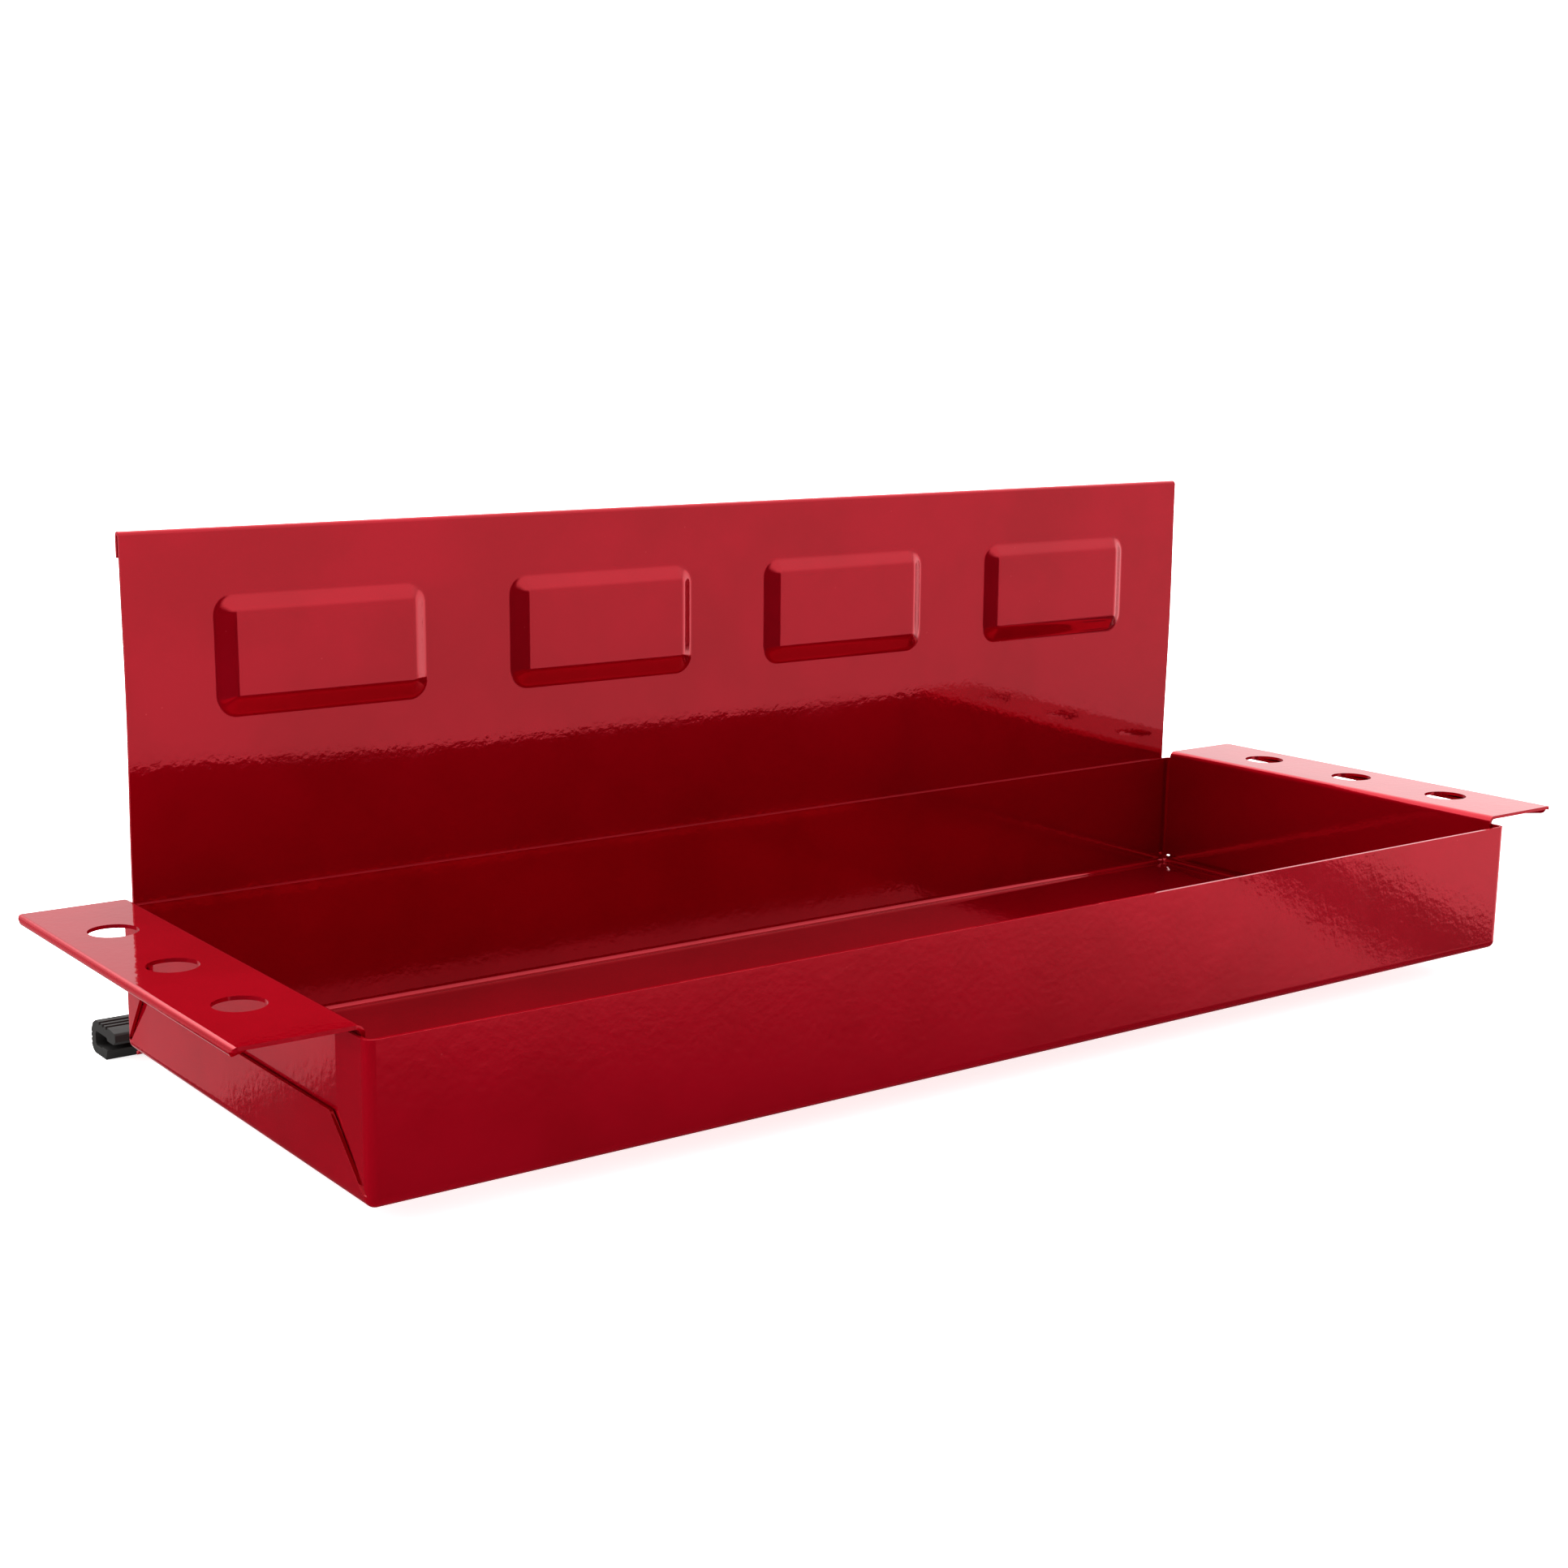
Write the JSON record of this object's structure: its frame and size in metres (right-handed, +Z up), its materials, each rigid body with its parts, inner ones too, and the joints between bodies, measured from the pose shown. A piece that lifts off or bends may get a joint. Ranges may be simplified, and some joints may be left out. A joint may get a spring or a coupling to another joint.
{
  "type": "magnetic tool tray",
  "caption": "Long red sheet-steel tool tray with a tall magnetic back plate, drilled screwdriver rails on both ends and a rubber edge strip along the lower rear.",
  "frame": {"origin": "middle of the object's footprint, level with the underside of the rubber edge strip, its lowest face", "axes": "+X along the tray, to the right as seen from its front; +Y to the rear, towards the steel wall that it hangs on; +Z up"},
  "size_m": [0.459, 0.1692, 0.1475],
  "materials": {
    "red_powder_coat": "high-gloss powder coat with fine orange peel",
    "ferrite": "sintered ferrite, dull grey, ground faces",
    "magnet_cover": "matt vinyl",
    "black_rubber": "satin extruded rubber"
  },
  "bodies": {
    "root": {"tray_pan": "red_powder_coat", "left_tool_rail": "red_powder_coat", "right_tool_rail": "red_powder_coat", "back_plate": "red_powder_coat", "magnet_1": "ferrite", "magnet_2": "ferrite", "magnet_3": "ferrite", "magnet_4": "ferrite", "magnet_cover_1": "magnet_cover", "magnet_cover_2": "magnet_cover", "magnet_cover_3": "magnet_cover", "magnet_cover_4": "magnet_cover", "rubber_edge_strip": "black_rubber"}
  },
  "joints": []
}
